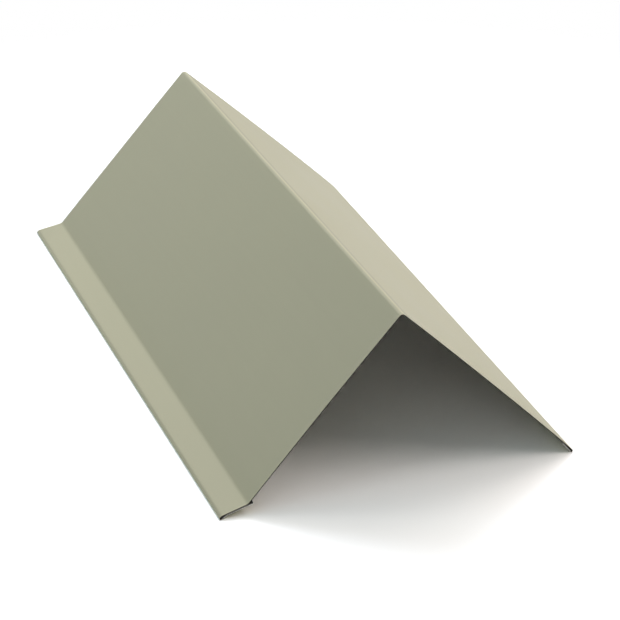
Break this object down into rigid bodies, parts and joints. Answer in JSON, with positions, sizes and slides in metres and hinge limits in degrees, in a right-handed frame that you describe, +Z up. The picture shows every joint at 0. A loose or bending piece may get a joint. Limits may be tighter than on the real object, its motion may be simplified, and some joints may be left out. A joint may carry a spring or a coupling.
{
  "type": "rake trim",
  "caption": "Folded sheet-metal rake trim with a roof leg, a fascia leg, a hemmed drip kick and a hemmed roof edge, covering the sloping edge of a roof.",
  "frame": {"origin": "on the floor, midway between the two hems and midway along the length", "axes": "+X from the kick to the roof leg's hem, +Y along the length, +Z up as the trim lies on its two hems"},
  "size_m": [0.1616, 0.3048, 0.079],
  "materials": {
    "painted_sheet": "satin stone-grey coil coating"
  },
  "bodies": {
    "root": {"rake_trim": "painted_sheet"}
  },
  "joints": []
}
